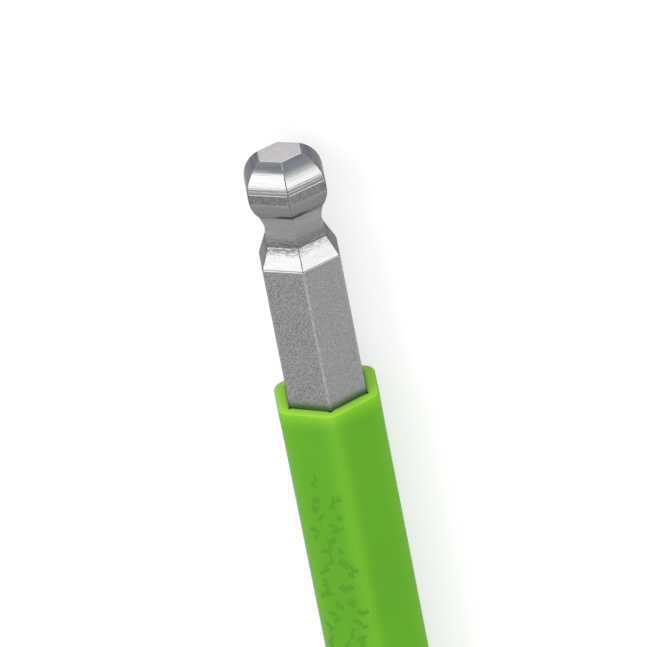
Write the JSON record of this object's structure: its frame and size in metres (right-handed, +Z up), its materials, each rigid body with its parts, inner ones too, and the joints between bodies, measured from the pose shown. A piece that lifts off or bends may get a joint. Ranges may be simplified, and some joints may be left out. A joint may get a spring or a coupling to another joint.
{
  "type": "hex key",
  "caption": "L-shaped hexagon key in satin steel, with a ball end on its long arm and a moulded green plastic sleeve over the long arm and the bend.",
  "frame": {"origin": "middle of the whole key's outline seen from above, on the surface that it lies on", "axes": "+X along the long arm towards the ball, +Y along the short arm towards its bare end, +Z up, square to the plane of both arms"},
  "size_m": [0.2092, 0.0452, 0.0104],
  "materials": {
    "key_steel": "satin plated, with a fine matt grain on the flats and bright turned faces on the ball and ramp",
    "sleeve_plastic": "smooth moulded yellow-green, with darker shallow flecks on one flat"
  },
  "bodies": {
    "root": {"key": "key_steel", "sleeve": "sleeve_plastic"}
  },
  "joints": []
}
